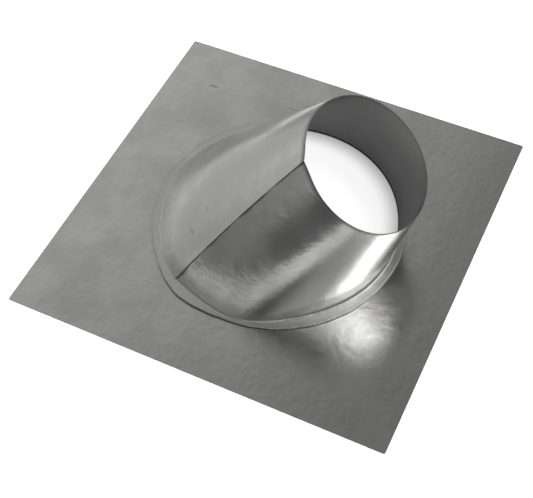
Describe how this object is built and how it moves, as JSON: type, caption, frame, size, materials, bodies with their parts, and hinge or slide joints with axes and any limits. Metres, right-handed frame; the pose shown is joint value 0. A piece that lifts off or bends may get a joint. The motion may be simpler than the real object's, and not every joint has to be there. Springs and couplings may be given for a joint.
{
  "type": "chimney flashing",
  "caption": "Sheet metal flashing for a flue through a pitched roof: a square plate with an oblique rolled cone lock-seamed round its hole.",
  "frame": {"origin": "middle of the square plate, on its underside", "axes": "+Z out of the plate's upper face; the cone and the flue lean 35 degrees from +Z towards +X, so +X points down the roof slope when the flue stands plumb; +Y across the slope"},
  "size_m": [0.45, 0.45, 0.1954],
  "materials": {
    "steel_sheet": "smooth semi-bright rolled sheet"
  },
  "bodies": {
    "root": {"base_plate": "steel_sheet", "flue_cone": "steel_sheet"}
  },
  "joints": []
}
